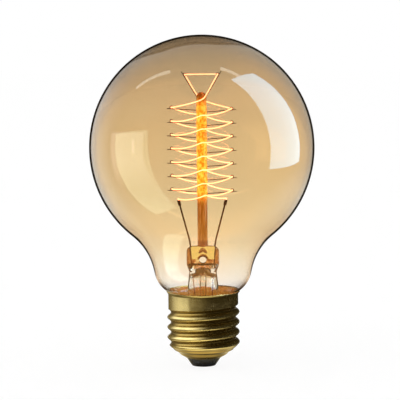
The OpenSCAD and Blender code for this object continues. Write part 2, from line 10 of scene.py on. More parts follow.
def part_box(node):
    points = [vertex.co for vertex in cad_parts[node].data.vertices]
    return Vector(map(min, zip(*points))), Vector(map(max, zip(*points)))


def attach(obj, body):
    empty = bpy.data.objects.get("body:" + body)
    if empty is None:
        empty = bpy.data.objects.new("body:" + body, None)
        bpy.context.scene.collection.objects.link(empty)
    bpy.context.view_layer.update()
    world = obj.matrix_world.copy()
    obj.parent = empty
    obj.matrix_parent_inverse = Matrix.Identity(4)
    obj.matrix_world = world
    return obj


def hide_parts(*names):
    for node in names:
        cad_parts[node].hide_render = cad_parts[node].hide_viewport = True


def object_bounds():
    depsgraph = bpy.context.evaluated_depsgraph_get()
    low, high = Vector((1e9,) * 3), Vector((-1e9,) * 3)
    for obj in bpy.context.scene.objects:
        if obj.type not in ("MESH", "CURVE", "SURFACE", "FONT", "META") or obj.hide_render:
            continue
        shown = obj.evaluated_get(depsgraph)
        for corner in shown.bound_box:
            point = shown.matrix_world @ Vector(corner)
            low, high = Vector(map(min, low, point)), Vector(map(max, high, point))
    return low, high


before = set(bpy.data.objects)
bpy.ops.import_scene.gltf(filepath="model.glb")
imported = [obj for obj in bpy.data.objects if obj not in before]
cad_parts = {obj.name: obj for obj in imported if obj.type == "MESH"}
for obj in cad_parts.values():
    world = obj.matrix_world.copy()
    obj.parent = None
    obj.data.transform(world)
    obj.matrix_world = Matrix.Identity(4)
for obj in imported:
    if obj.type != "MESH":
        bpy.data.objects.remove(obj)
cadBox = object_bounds()
mm = 0.001
print("frame loaded:", len(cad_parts), "nodes")

lowZ = {name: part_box(name)[0].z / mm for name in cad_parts}
highZ = {name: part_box(name)[1].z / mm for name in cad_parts}
globeRadius = (cadBox[1].x - cadBox[0].x) / 2 / mm
globeZ = highZ["glass_envelope"] - globeRadius
footZ = lowZ["cap_insulator"]
neckEndZ = lowZ["glass_envelope"]
pressZ = lowZ["support_rod"]
rodTopZ = highZ["support_rod"]
sides = (-1, 1)
sideName = {-1: "left", 1: "right"}


# Small tools

def mix(a, b, t):
    return a + (b - a) * t


def eased(t):
    t = min(max(t, 0), 1)
    return t * t * (3 - 2 * t)


def rising(value, start, over):
    # 0 up to a start, then a soft step to 1
    return eased((value - start) / over)


def shares(count, first=0):
    return [i / count for i in range(first, count + 1)]


def upward(z):
    return Vector((0, 0, z))


def arc(centre, radius, start, end, step=2.5):
    count = max(1, ceil(abs(end - start) / step))
    angles = [radians(mix(start, end, t)) for t in shares(count)]
    return [(centre[0] + radius * cos(a), centre[1] + radius * sin(a)) for a in angles]


def roundedPath(points, times):
    # cuts the corners of a path again and again, and keeps its ends
    points = [Vector(p) for p in points]
    for _ in range(times):
        cut = [points[0]]
        for a, b in zip(points, points[1:]):
            cut += [mix(a, b, 0.25), mix(a, b, 0.75)]
        points = cut + [points[-1]]
    return points


def sharpEdges(bm, steepest):
    # edges steeper than this many degrees stay crisp under smooth shading
    for edge in bm.edges:
        edge.smooth = len(edge.link_faces) != 2 or edge.calc_face_angle(0) < radians(steepest)


def spun(outline, steps, closed=False, lift=0, crisp=0):
    # a round piece from its outline, given as (radius, height)
    bm = bmesh.new()
    verts = [bm.verts.new((r * mm, 0, (z + lift) * mm)) for r, z in outline]
    edges = [bm.edges.new(pair) for pair in zip(verts, verts[1:])]
    if closed:
        edges.append(bm.edges.new((verts[-1], verts[0])))
    bmesh.ops.spin(bm, geom=verts + edges, cent=(0, 0, 0), axis=(0, 0, 1),
                   angle=2 * pi, steps=steps, use_merge=True)
    bmesh.ops.remove_doubles(bm, verts=bm.verts, dist=1e-7)
    # edges on the axis are left without faces
    loose = [edge for edge in bm.edges if not edge.link_faces]
    bmesh.ops.delete(bm, geom=loose, context="EDGES")
    if crisp:
        sharpEdges(bm, crisp)
    return bm


def placed(name, data):
    made = bpy.data.objects.new(name, data)
    bpy.context.collection.objects.link(made)
    return made


def meshObject(name, bm, *materials):
    mesh = bpy.data.meshes.new(name)
    bm.to_mesh(mesh)
    bm.free()
    for material in materials:
        mesh.materials.append(material)
    return placed(name, mesh)


def finalMesh(holder):
    # what a curve or a modifier makes of an object, which then goes
    bpy.context.view_layer.update()
    depsgraph = bpy.context.evaluated_depsgraph_get()
    mesh = bpy.data.meshes.new_from_object(holder.evaluated_get(depsgraph))
    bm = bmesh.new()
    bm.from_mesh(mesh)
    bpy.data.objects.remove(holder)
    bpy.data.meshes.remove(mesh)
    return bm


def addPiece(name, bm, material, node):
    bmesh.ops.recalc_face_normals(bm, faces=bm.faces)
    for face in bm.faces:
        face.smooth = True
    piece = meshObject(name, bm, material)
    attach(piece, "root")
    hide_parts(node)


def addWire(name, path, diameter, material, node, sides=12):
    # a round wire along a path, made by a bevelled curve
    curve = bpy.data.curves.new("wirePath", "CURVE")
    curve.dimensions = "3D"
    curve.bevel_depth = diameter / 2 * mm
    curve.bevel_resolution = sides // 2 - 2
    curve.use_fill_caps = True
    spline = curve.splines.new("POLY")
    spline.points.add(len(path) - 1)
    for point, place in zip(spline.points, path):
        point.co = (*(Vector(place) * mm), 1)
    bm = finalMesh(placed("wirePath", curve))
    bpy.data.curves.remove(curve)
    bmesh.ops.remove_doubles(bm, verts=bm.verts, dist=1e-7)
    addPiece(name, bm, material, node)


# Materials

class Wiring:
    # short ways to add nodes to a tree and link them
    def __init__(self, tree):
        self.tree = tree

    def node(self, kind, inputs=None, **values):
        # its inputs come by name or number, and take another socket, a colour or a number
        made = self.tree.nodes.new("ShaderNode" + kind)
        for key, value in values.items():
            setattr(made, key, value)
        for key, value in (inputs or {}).items():
            socket = made.inputs[key]
            if hasattr(value, "links"):
                self.link(value, socket)
            else:
                socket.default_value = (*value, 1) if socket.type == "RGBA" else value
        return made

    def link(self, source, target):
        self.tree.links.new(source, target)

    def maths(self, operation, first, second=0):
        return self.node("Math", {0: first, 1: second}, operation=operation).outputs[0]

    def seenDirectly(self):
        # 1 for rays of the camera, of mirror reflections and through glass
        path = self.node("LightPath").outputs
        total = path["Is Camera Ray"]
        for name in ("Is Glossy Ray", "Is Transmission Ray"):
            total = self.maths("MAXIMUM", total, path[name])
        return total

    def mixShaders(self, factor, first, second, output):
        # the first shader where the factor is 0, the second where it is 1
        made = self.node("MixShader", {0: factor, 1: first.outputs[0], 2: second.outputs[0]})
        self.link(made.outputs[0], self.tree.nodes[output].inputs["Surface"])


class Finish(Wiring):
    # a Principled material
    def __init__(self, name, **values):
        self.material = bpy.data.materials.new(name)
        self.material.use_nodes = True
        super().__init__(self.material.node_tree)
        self.shader = self.tree.nodes["Principled BSDF"]
        for socket, value in values.items():
            self.shader.inputs[socket.replace("_", " ")].default_value = value

    def feed(self, source, name="Base Color"):
        self.link(source, self.shader.inputs[name])

    def coordinates(self):
        return self.node("TexCoord").outputs["Object"]

    def axis(self, name):
        return self.node("SeparateXYZ", {0: self.coordinates()}).outputs[name]

    def plane(self, *names):
        # the object's coordinates with the third set to 0
        return self.node("CombineXYZ", {name: self.axis(name) for name in names}).outputs[0]

    def span(self, source, low, high, start=0, end=1, kind="SMOOTHSTEP"):
        # carries one range of a value over to another
        ends = {"Value": source, "From Min": low, "From Max": high, "To Min": start, "To Max": end}
        return self.node("MapRange", ends, interpolation_type=kind).outputs["Result"]

    def height(self, low, high):
        # 0 at one height of the object, in millimetres, and 1 at another
        return self.span(self.axis("Z"), low * mm, high * mm, kind="LINEAR")

    def product(self, first, second):
        return self.maths("MULTIPLY", first, second)

    def facing(self):
        return self.node("LayerWeight").outputs["Facing"]

    def grain(self, size, detail=2, rough=0.5, stretch=None):
        # noise whose lumps are about this many millimetres wide
        place = self.coordinates()
        if stretch:
            place = self.node("Mapping", {"Scale": stretch, "Vector": place}).outputs["Vector"]
        values = {"Scale": 1 / (size * mm), "Detail": detail, "Roughness": rough, "Vector": place}
        return self.node("TexNoise", values).outputs["Fac"]

    def ramp(self, source, stops):
        made = self.node("ValToRGB")
        elements = made.color_ramp.elements
        while len(elements) < len(stops):
            elements.new(0.5)
        for element, (place, colour) in zip(elements, stops):
            element.position = place
            element.color = (*colour, 1)
        self.link(source, made.inputs["Fac"])
        return made.outputs["Color"]

    def blend(self, factor, first, second, mode="MIX"):
        values = {0: factor, 6: first, 7: second}
        return self.node("Mix", values, data_type="RGBA", blend_type=mode).outputs[2]

    def bump(self, source, strength, distance):
        made = self.node("Bump", {"Strength": strength, "Distance": distance * mm, "Height": source})
        self.feed(made.outputs["Normal"], "Normal")


amber = {
    # tint of one wall, by height over the globe's middle in millimetres
    "tints": [(-51, (1.0, 0.98, 0.95)), (-46.5, (0.99, 0.94, 0.85)), (-42, (0.985, 0.915, 0.78)),
              (-33, (0.95, 0.83, 0.61)), (-14, (0.90, 0.755, 0.525)), (4, (0.875, 0.72, 0.49)),
              (22, (0.80, 0.655, 0.46)), (34, (0.70, 0.59, 0.44)), (41, (0.62, 0.50, 0.36))],
    "aslant": (0.86, 0.82, 0.80), "aslantZone": (0.3, 0.8),
    # painted shade: the dark outline where the wall is seen edge-on, and how edge-on the wall must be
    "edge": (0.05, 0.04, 0.03), "paintedOutlineZone": (0.84, 0.98),
}


def makeAmberGlass():
    finish = Finish("amberGlass", Transmission_Weight=1.0, Roughness=0.0, IOR=1.5)
    low, high = amber["tints"][0][0], amber["tints"][-1][0]
    up = finish.height(globeZ + low, globeZ + high)
    tone = finish.ramp(up, [((z - low) / (high - low), colour) for z, colour in amber["tints"]])
    facing = finish.facing()
    # light passes more glass where the wall stands aslant
    longer = finish.span(facing, *amber["aslantZone"])
    tone = finish.blend(longer, tone, amber["aslant"], "MULTIPLY")
    # painted shade: a dark outline where the wall is seen edge-on
    finish.feed(finish.blend(finish.span(facing, *amber["paintedOutlineZone"]), tone, amber["edge"]))
    finish.bump(finish.grain(30, 1), 0.04, 0.3)
    return finish.material


stemGlass = {
    # painted light and shade: the press's yellow stands for the filament's light in it, the edge's red-brown
    # for its dark outline
    "low": (0.98, 0.96, 0.90), "press": (1.0, 0.80, 0.31), "edge": (0.30, 0.08, 0.02),
    "margin": (0.42, 0.15, 0.03), "marginFrom": 4.1, "holeShade": (0.16, 0.04, 0.01),
    "foot": [(0.42, (0.28, 0.06, 0.01)), (0.54, (0.85, 0.42, 0.14)), (0.66, (1.0, 0.82, 0.55))],
    "footHeight": 3, "wave": 0.12, "levelSoft": 0.05, "marginSoft": 0.4,
    "holeShadeArcs": [(0, 1.25, 1.9), (2.3, 0.8, 1.5)],      # above the hole's middle, from and to a radius
}


def makeStemGlass():
    finish = Finish("stemGlass", Transmission_Weight=1.0, Roughness=0.0, IOR=1.52)
    lumps = finish.grain(1.5, 2, 0.6)
    # the press is painted yellow for the filament's light that it refracts; its foot is red-brown and wavy,
    # and the tube below is clear
    low, high, wave = roofZ, pressZ, stemGlass["wave"]
    shift = finish.span(lumps, 0, 1, -wave, wave, "LINEAR")
    waved = finish.maths("ADD", finish.height(low, high), shift)

    def level(z):
        start = (z - low) / (high - low)
        return finish.span(waved, start, start + stemGlass["levelSoft"])

    tone = finish.blend(level(pressFootZ), stemGlass["low"], finish.ramp(lumps, stemGlass["foot"]))
    tone = finish.blend(level(pressFootZ + stemGlass["footHeight"]), tone, stemGlass["press"])
    # brown margins outside the wires, and painted shade: dark arcs over the hole
    aside = finish.maths("ABSOLUTE", finish.axis("X"))
    inPress = finish.height(pressFootZ - 0.3, pressFootZ + 1)
    start = stemGlass["marginFrom"]
    margin = finish.span(aside, start * mm, (start + stemGlass["marginSoft"]) * mm)
    tone = finish.blend(finish.product(margin, inPress), tone, stemGlass["margin"])
    # painted shade: dark arcs round the top of the hole
    for rise, near, far in stemGlass["holeShadeArcs"]:
        middle = pressZ - stem["holeDepth"] + rise
        ends = {0: finish.plane("X", "Z"), 1: (0, 0, middle * mm)}
        away = finish.node("VectorMath", ends, operation="DISTANCE").outputs["Value"]
        ring = finish.product(finish.span(away, (near - 0.1) * mm, (near + 0.1) * mm),
                              finish.span(away, far * mm, (far + 0.2) * mm, 1, 0))
        upper = finish.product(ring, finish.height(middle + 0.1, middle + 0.5))
        tone = finish.blend(upper, tone, stemGlass["holeShade"])
    # painted shade: the press turns dark red-brown where it is seen edge-on
    edge = finish.product(finish.span(finish.facing(), 0.4, 0.8), inPress)
    finish.feed(finish.blend(edge, tone, stemGlass["edge"]))
    finish.bump(finish.product(lumps, finish.height(pressFootZ - 1.5, pressFootZ + 1)), 0.5, 0.5)
    return finish.material


rodGlass = {
    "footGlow": (0.30, 0.11, 0.015), "strength": (0.3, 0.8),      # of the glow, at the foot and where lit
    "melt": (0.42, 0.12, 0.02), "meltGlow": (0.22, 0.05, 0.0), "meltFrom": 1.2, "meltTo": 2.0,
    "speckle": [(0.38, (0.62, 0.22, 0.01)), (0.5, (1.0, 0.47, 0.04)), (0.63, (1.0, 0.72, 0.13))],
    "streak": [(0.38, (0.30, 0.09, 0.01)), (0.52, (0.62, 0.24, 0.03)), (0.66, (0.95, 0.50, 0.16))],
}


def makeRodGlass(lowLit, highLit):
    finish = Finish("rodGlass", Transmission_Weight=0.35, Roughness=0.1, IOR=1.5)
    # painted light: the rod glows, and between these heights, where the filament lights it, it is drawn in
    # bright speckles and glows more
    lit = finish.product(finish.height(lowLit - 3, lowLit + 2), finish.height(highLit + 3, highLit - 1))
    speckle = finish.ramp(finish.grain(1.0, 3, 0.65, (1, 1, 0.7)), rodGlass["speckle"])
    streak = finish.ramp(finish.grain(1.2, 2, 0.5, (1, 1, 0.15)), rodGlass["streak"])
    # redder where it is melted on to the press
    melted = finish.height(pressZ + rodGlass["meltTo"], pressZ + rodGlass["meltFrom"])
    streak = finish.blend(melted, streak, rodGlass["melt"])
    finish.feed(finish.blend(lit, streak, speckle))
    glow = finish.blend(melted, rodGlass["footGlow"], rodGlass["meltGlow"])
    finish.feed(finish.blend(lit, glow, speckle), "Emission Color")
    finish.feed(finish.span(lit, 0, 1, *rodGlass["strength"]), "Emission Strength")
    return finish.material


def makeGlow():
    finish = Finish("glowingWire", Roughness=0.5, Emission_Strength=4.0)
    shade = finish.ramp(finish.grain(6, 1), [(0.3, (1.0, 0.40, 0.22)), (0.7, (1.0, 0.46, 0.29))])
    finish.feed(shade)
    finish.feed(shade, "Emission Color")
    return finish.material


def makeMottled(name, dark, light, lumps, dents, bump, **values):
    # two tones in lumps of a width in millimetres, with dents of a grain, their strength and depth
    finish = Finish(name, **values)
    finish.feed(finish.ramp(finish.grain(lumps, 3), [(0.35, dark), (0.7, light)]))
    finish.bump(finish.grain(*dents), *bump)
    return finish.material


def makeWireMetal(name, dark, light, roughness):
    return makeMottled(name, dark, light, 1.5, (0.25, 1, 0.5, (1, 1, 0.2)), (0.2, 0.02),
                       Metallic=1.0, Roughness=roughness, Specular_Tint=(*light, 1))


brass = {
    "root": (0.36, 0.25, 0.08), "skirt": (0.66, 0.52, 0.22), "crest": (0.80, 0.67, 0.34),
    "tarnish": (0.30, 0.24, 0.10), "rootRadius": 11.8, "crestRadius": 13.0, "roughness": (0.16, 0.30),
}


def makeBrass():
    finish = Finish("rolledBrass", Metallic=1.0, Roughness=0.22)
    radius = finish.node("VectorMath", {0: finish.plane("X", "Y")}, operation="LENGTH").outputs["Value"]
    # darker in the thread's roots and brighter on its crests: painted shade in the roots, and wear on the
    # crests
    out = finish.span(radius, brass["rootRadius"] * mm, brass["crestRadius"] * mm, kind="LINEAR")
    wearAndRootShade = finish.ramp(out, [(0.0, brass["root"]), (0.55, brass["skirt"]), (1.0, brass["crest"])])
    stain = finish.ramp(finish.grain(5, 4, 0.6), [(0.45, (0, 0, 0)), (0.8, (0.6, 0.6, 0.6))])
    finish.feed(finish.blend(stain, wearAndRootShade, brass["tarnish"]))
    rough = finish.span(finish.grain(3, 4, 0.65), 0.3, 0.7, *brass["roughness"], "LINEAR")
    finish.feed(rough, "Roughness")
    # fine marks of the rolls run round the cap
    finish.bump(finish.grain(0.8, 3, stretch=(0.15, 0.15, 3)), 0.10, 0.05)
    return finish.material


def makeCement():
    finish = Finish("bakedCement", Roughness=0.75, Specular_IOR_Level=0.2, Emission_Strength=0.4)
    shade = finish.ramp(finish.grain(1.3, 5, 0.65), [
        (0.3, (0.50, 0.16, 0.02)), (0.5, (0.88, 0.36, 0.06)), (0.72, (1.0, 0.62, 0.20))])
    finish.feed(shade)
    # stands for the light that comes down through the glass
    finish.feed(shade, "Emission Color")
    finish.bump(finish.grain(0.6, 4, 0.7), 0.6, 0.25)
    return finish.material


# Camera and studio

camera = {
    "imagePixels": 400, "pixelsPerMm": 2.79, "distance": 800, "lookDown": 5.3, "roll": 0.55,
    "globePixel": (201.8, 147.5), "sensor": 36,
}


def cameraRise():
    # the globe stands above the picture's middle, so the camera is a little below its line
    up = camera["imagePixels"] / 2 - camera["globePixel"][1]
    return radians(camera["lookDown"]) - atan(up / camera["pixelsPerMm"] / camera["distance"])


def placeCamera():
    focalPixels = camera["pixelsPerMm"] * camera["distance"]
    half = camera["imagePixels"] / 2
    right = camera["globePixel"][0] - half
    up = half - camera["globePixel"][1]
    roll = radians(camera["roll"])
    tilt = radians(camera["lookDown"])
    rise = cameraRise()
    aside = -(right + up * sin(roll)) / camera["pixelsPerMm"]
    data = bpy.data.cameras.new("photoCamera")
    data.sensor_width = camera["sensor"]
    data.lens = camera["sensor"] * focalPixels / camera["imagePixels"]
    data.clip_start = 0.01
    data.clip_end = 20
    holder = placed("photoCamera", data)
    distance = camera["distance"]
    place = Vector((aside, -distance * cos(rise), globeZ + distance * sin(rise))) * mm
    holder.matrix_world = (Matrix.Translation(place) @ Matrix.Rotation(radians(90) - tilt, 4, "X")
                           @ Matrix.Rotation(-roll, 4, "Z"))
    bpy.context.scene.camera = holder


studio = {
    "roomLight": 0.8,            # what matt surfaces get from all round
    "floorSize": 6000, "floorShade": 0.12, "floorWhite": 1.03, "domeRadius": 900, "collar": 28.6,
    "keyRadiance": 1.2, "keySize": 700, "keyPlace": (-600, -600, 1100),
}
# what the globe mirrors, by where the camera sees it
glassTones = {
    "dark": (0.09, 0.065, 0.035), "veryDark": (0.02, 0.015, 0.01), "nearCap": (0.05, 0.025, 0.01),
    "left": (0.95, 0.97, 1.0), "right": (0.62, 0.60, 0.55), "lowRight": (0.95, 0.95, 0.92),
    "low": (0.95, 0.72, 0.5), "warm": (2.0, 0.9, 0.2), "warmRight": (0.8, 0.45, 0.15),
    "crown": (0.22, 0.17, 0.11), "patch": (1.28, 1.22, 1.18), "streak": (2.6, 2.5, 2.4),
}
# where one tone gives way to the next: from and over, in globe radii or, for turns, in degrees
glassZones = {
    "across": (-0.5, 1), "rightOf": (0.05, 0.5), "lowSide": (0.1, 0.3), "lowest": (0.45, 0.3),
    "lowFront": (0.4, 0.4), "high": (0.35, 0.3), "edge": (76.5, 2.5), "patchFade": (0.08, 0.33),
    "patchFar": (60, 60), "capFar": (14, 9),
}
ringStart = {"turn": 46, "rightLess": 8, "over": 22}
crownLine = {"bearings": (-34, 20, 28), "turns": (79.5, 65), "thick": 3.5, "soft": 2}
# the window on the left, by reach and height in globe radii, and a thin streak beside it
window = {"reach": (0.515, 0.797, 0.03), "top": 0.1375, "topSoft": 0.02, "atCap": 0.15}
streak = {"across": (-0.61, -0.59, 0.02), "up": (-0.04, 0.07, 0.03)}
# what the brass mirrors, by bearing from the front in degrees and reach in millimetres
brassTones = {
    "above": (1.0, 0.97, 0.80), "aboveLight": 2.2, "below": (1.9, 1.7, 1.0), "aside": (1.0, 0.98, 0.85),
    "shadeLeft": 0.20, "shadeRight": 0.04, "shadeHue": (1, 0.82, 0.42), "shade": (-45, 75),
    "aboveFrom": (-12, 66), "aboveTo": (-128, 50), "rim": (13.4, 0.8),
    "asideFrom": (46, 5), "asideTo": (-142, 62), "asideReach": (45, 40),
    "ring": (9.5, 15, 4.5), "ringFade": (25, 45),
}


def makeWorld():
    world = bpy.data.worlds.new("studioWorld")
    bpy.context.scene.world = world
    world.use_nodes = True
    world.cycles.sampling_method = "NONE"
    wiring = Wiring(world.node_tree)
    wiring.tree.nodes.remove(wiring.tree.nodes["Background"])
    room, white = [wiring.node("Background", {"Color": (1, 1, 1), "Strength": strength})
                   for strength in (studio["roomLight"], 1)]
    wiring.mixShaders(wiring.seenDirectly(), room, white, "World Output")


def makeFloor():
    # pale floor: white where it is seen, less a part of the lamp's soft shadow
    finish = Finish("paleFloor", Base_Color=(0.95, 0.95, 0.95, 1), Roughness=0.9, Specular_IOR_Level=0)
    white = finish.node("Emission", {"Strength": studio["floorWhite"]})
    part = finish.product(finish.seenDirectly(), 1 - studio["floorShade"])
    finish.mixShaders(part, finish.shader, white, "Material Output")
    bm = bmesh.new()
    bmesh.ops.create_grid(bm, x_segments=1, y_segments=1, size=studio["floorSize"] / 2 * mm)
    meshObject("paleFloor", bm, finish.material)


def paintedStage(name, bm, tone):
    # only rays that the lamp has mirrored see this; tone gives the light of a place in millimetres
    finish = Finish(name)
    finish.tree.nodes.remove(finish.shader)
    painted = finish.node("Attribute", attribute_name="tone").outputs["Color"]
    glow = finish.node("Emission", {"Color": painted})
    mirrored = finish.maths("MINIMUM", finish.node("LightPath").outputs["Glossy Depth"], 1)
    finish.mixShaders(mirrored, finish.node("BsdfTransparent"), glow, "Material Output")
    finish.material.cycles.emission_sampling = "NONE"
    layer = bm.verts.layers.float_color.new("tone")
    for vert in bm.verts:
        vert[layer] = (*tone(vert.co / mm), 1)
    meshObject(name, bm, finish.material)


def mixed(a, b, t):
    return tuple(mix(x, y, t) for x, y in zip(a, b))


def seenOnGlobe(place):
    # where the camera sees a place mirrored in the globe: across and up in radii, and degrees off its middle
    rise = cameraRise()
    front = Vector((0, -cos(rise), sin(rise)))
    up = Vector((0, sin(rise), cos(rise)))
    way = place - upward(globeZ)
    off = way.angle(front)
    turn = off / 2
    for _ in range(5):
        turn = (off + asin(min(1, sin(turn) * globeRadius / way.length))) / 2
    aside = Vector((way.x, way.dot(up)))
    return (*(aside.normalized() * sin(turn) if aside.length else (0, 0)), degrees(turn))


def band(value, low, high, soft):
    return eased((value - low) / soft + 0.5) * eased((high - value) / soft + 0.5)


def glassTone(place):
    # what the globe mirrors: dark in front, white at the sides, dark straight behind
    across, up, turn = seenOnGlobe(place)
    tones = glassTones

    def zone(name, value):
        return rising(value, *glassZones[name])

    def over(under, name, share):
        return mixed(under, tones[name], share)

    rightShare, lowSide = zone("across", across), zone("lowSide", -up)
    left = over(tones["left"], "dark", 0.45 * zone("high", up))
    ring = mixed(left, over(tones["right"], "lowRight", lowSide), rightShare)
    ring = over(ring, "low", zone("lowest", -up))
    front = over(tones["dark"], "warmRight", zone("rightOf", across))
    front = over(front, "warm", zone("lowFront", -up) * mix(0.55, 1, rightShare))
    start = ringStart["turn"] - ringStart["rightLess"] * eased(across * 2) * lowSide
    shown = mixed(front, ring, rising(turn, start, ringStart["over"]))
    # crown: a dark line whose ends run into the edge, and a brown band above it
    lift = band(degrees(atan2(across, up)), *crownLine["bearings"])
    line, soft = mix(*crownLine["turns"], lift), crownLine["soft"]
    shown = over(shown, "crown", rising(turn, line - 1, soft) * lift)
    shown = over(shown, "veryDark", band(turn, line, line + crownLine["thick"], soft) * lift)
    shown = over(shown, "veryDark", zone("edge", turn))
    # the window fades downwards, and close round the neck it is dark
    near = hypot(place.x, place.y) if place.z < studio["collar"] + 1 else studio["domeRadius"]
    if across < 0:
        patch = band(hypot(across, up), *window["reach"])
        patch *= eased((window["top"] - up) / window["topSoft"] + 0.5)
        patch *= (1 - zone("patchFade", -up)) * mix(window["atCap"], 1, zone("patchFar", near))
        shown = over(shown, "patch", patch)
    shown = mixed(tones["nearCap"], shown, zone("capFar", near))
    return over(shown, "streak", band(across, *streak["across"]) * band(up, *streak["up"]))


def brassTone(place):
    # what the brass mirrors: under the collar, white on the left up to a straight edge, dark elsewhere
    tones = brassTones
    bearing = degrees(atan2(place.x, -place.y))
    reach = hypot(place.x, place.y)

    def zone(name, value):
        return rising(value, *tones[name])

    shade = mix(tones["shadeLeft"], tones["shadeRight"], zone("shade", bearing))
    dark = tuple(shade * part for part in tones["shadeHue"])
    if place.z > studio["collar"] / 2:
        white = zone("aboveFrom", -bearing) * zone("aboveTo", bearing) * zone("rim", reach)
        return mixed(dark, tones["above"], tones["aboveLight"] * white)
    # the skirt mirrors the far table, and the flanks that face down the near one
    lit = zone("asideFrom", -bearing) * zone("asideTo", bearing) * zone("asideReach", reach)
    below = band(reach, *tones["ring"]) * (1 - 0.5 * zone("ringFade", abs(bearing)))
    return mixed(mixed(dark, tones["below"], below), tones["aside"], lit)


def makeSurround():
    # the glass mirrors a dome and a collar under the globe, the brass the collar's underside and a table
    radius, collar = studio["domeRadius"], studio["collar"]
    far = radius * 0.997         # just inside the dome
    start = degrees(asin((collar - globeZ) / radius))
    paintedStage("dome", spun(arc((0, 0), radius, start, 90, 1.2), 270, lift=globeZ), glassTone)
    for name, near, height, rings, steps, tone in (
            ("collar", 14, collar, 90, 240, glassTone),
            ("collarUnderside", 13.5, collar - 0.4, 24, 180, brassTone),
            ("tableCloth", 1, 0.4, 30, 180, brassTone)):
        line = [(mix(near, far, t ** 1.6), height) for t in shares(rings)]
        paintedStage(name, spun(line, steps), tone)


# Panels stand round the set. Each is an edge from one place to another, swept along a line, and its light.
panels = {
    "leftStrip": ((-28, -25, 150), (-76, -10, 150), (0, 5, 0), (2.2, 2.2, 2.1)),
    "rightWindow": ((163, -73, 30), (270, 105, 30), (0, 0, 426), (2.6, 4.1, 5.8)),
    "rightStrip": ((102, -14, 500), (290, -28, 500), (0, 32, 0), (2.5, 2.5, 2.4)),
}


def addPanel(name, start, end, sweep, light):
    bm = bmesh.new()
    edge = bm.edges.new([bm.verts.new(Vector(place) * mm) for place in (start, end)])
    grown = bmesh.ops.extrude_edge_only(bm, edges=[edge])
    bmesh.ops.translate(bm, verts=[v for v in grown["geom"] if isinstance(v, bmesh.types.BMVert)],
                        vec=Vector(sweep) * mm)
    paintedStage(name, bm, lambda place: light)


def addKeyLight():
    # one wide soft lamp from above on the left gives the matt parts their form
    data = bpy.data.lights.new("softKey", "AREA")
    data.shape = "RECTANGLE"
    data.size = data.size_y = studio["keySize"] * mm
    data.energy = studio["keyRadiance"] * pi * data.size * data.size_y
    holder = placed("softKey", data)
    middle = Vector(studio["keyPlace"]) * mm
    away = middle - upward(globeZ * mm)
    holder.matrix_world = Matrix.Translation(middle) @ away.to_track_quat("Z", "Y").to_matrix().to_4x4()
    holder.visible_camera = holder.visible_glossy = holder.visible_transmission = False


placeCamera()
makeWorld()
makeFloor()
makeSurround()
for name, values in panels.items():
    addPanel(name, *values)
addKeyLight()
bpy.context.scene.view_settings.view_transform = "Standard"
# glass inside glass needs long light paths
bpy.context.scene.cycles.max_bounces = bpy.context.scene.cycles.transmission_bounces = 32
bpy.context.scene.cycles.transparent_max_bounces = 16
print("camera and studio ready")


# Glass envelope: tangent arcs, as (radius, height above the globe's centre)

envelope = {
    "leaveAngle": 39, "wall": 0.5, "waistRadius": 22.3, "waistAngle": 13.5, "waistLength": 2.1,
    "shoulderRadius": 10.3, "neckDiameter": 21.2, "filletRadius": 1.8, "steps": 192,
}


def envelopeOutline(depth):
    leave, waist = envelope["leaveAngle"], envelope["waistAngle"]
    sinW, cosW = sin(radians(waist)), cos(radians(waist))
    reach = globeRadius + envelope["waistRadius"]
    waistCentre = Vector((sin(radians(leave)), -cos(radians(leave)))) * reach
    waistEnd = waistCentre - envelope["waistRadius"] * Vector((cosW, -sinW))
    shoulderStart = waistEnd - envelope["waistLength"] * Vector((sinW, cosW))
    shoulderCentre = shoulderStart - envelope["shoulderRadius"] * Vector((cosW, -sinW))
    neck, fillet = envelope["neckDiameter"] / 2, envelope["filletRadius"]
    turnReach = envelope["shoulderRadius"] + fillet
    turn = acos((neck + fillet - shoulderCentre.x) / turnReach)
    filletCentre = (neck + fillet, shoulderCentre.y - turnReach * sin(turn))
    return (arc((0, 0), globeRadius - depth, 90, leave - 90)
            + arc(waistCentre, envelope["waistRadius"] + depth, 90 + leave, 180 - waist)
            + arc(shoulderCentre, envelope["shoulderRadius"] - depth, -waist, -degrees(turn))
            + arc(filletCentre, fillet + depth, 180 - degrees(turn), 180, 6)
            + [(neck - depth, neckEndZ - globeZ)])


def makeEnvelope():
    outline = envelopeOutline(0) + envelopeOutline(envelope["wall"])[::-1]
    bm = spun(outline, envelope["steps"], lift=globeZ, crisp=40)
    addPiece("blownGlobe", bm, makeAmberGlass(), "glass_envelope")


makeEnvelope()
print("glass envelope done")


# Stem: flare tube, trumpet and press. Each level is (half width, half depth, squareness, height).

stem = {
    "wall": 0.8, "topDiameter": 9.9, "lowDiameter": 11.2, "trumpetHeight": 13.3,
    "pressWidth": 11.7, "pressDepth": 4.2, "pressHeight": 8.4, "cornerRadius": 2.2, "edge": 0.9,
    "pressRise": 1.8, "domeDrop": 1.5, "roofDrop": 1.2, "roofEdge": 3.4, "squareness": 3.4,
    "holeDiameter": 2.7, "holeDepth": 5.3, "boreDiameter": 1.5, "exhaustDiameter": 2.8, "exhaustReach": 3,
}
lipRadius = envelope["neckDiameter"] / 2 - envelope["wall"]
trumpetZ = neckEndZ + stem["trumpetHeight"]
pressFootZ = pressZ - stem["pressHeight"]
roofZ = pressFootZ - stem["roofDrop"]


def formed(levels, steps):
    # a closed skin through flattened rings: a spun line whose points are moved to their level
    bm = spun([(1, i) for i in range(len(levels))], steps)
    for vert in bm.verts:
        halfWidth, halfDepth, power, z = levels[round(vert.co.z / mm)]
        angle = atan2(vert.co.y, vert.co.x)
        c, s = cos(angle), sin(angle)
        vert.co = Vector((copysign(abs(c) ** (2 / power), c) * halfWidth,
                          copysign(abs(s) ** (2 / power), s) * halfDepth, z)) * mm
    bmesh.ops.remove_doubles(bm, verts=bm.verts, dist=1e-7)
    return bm


def trumpetLine(inner, drop):
    angles = [radians(a) for a in range(0, 91, 6)]
    return [(lipRadius - (lipRadius - inner) * cos(a), trumpetZ - drop * sin(a))
            for a in angles]


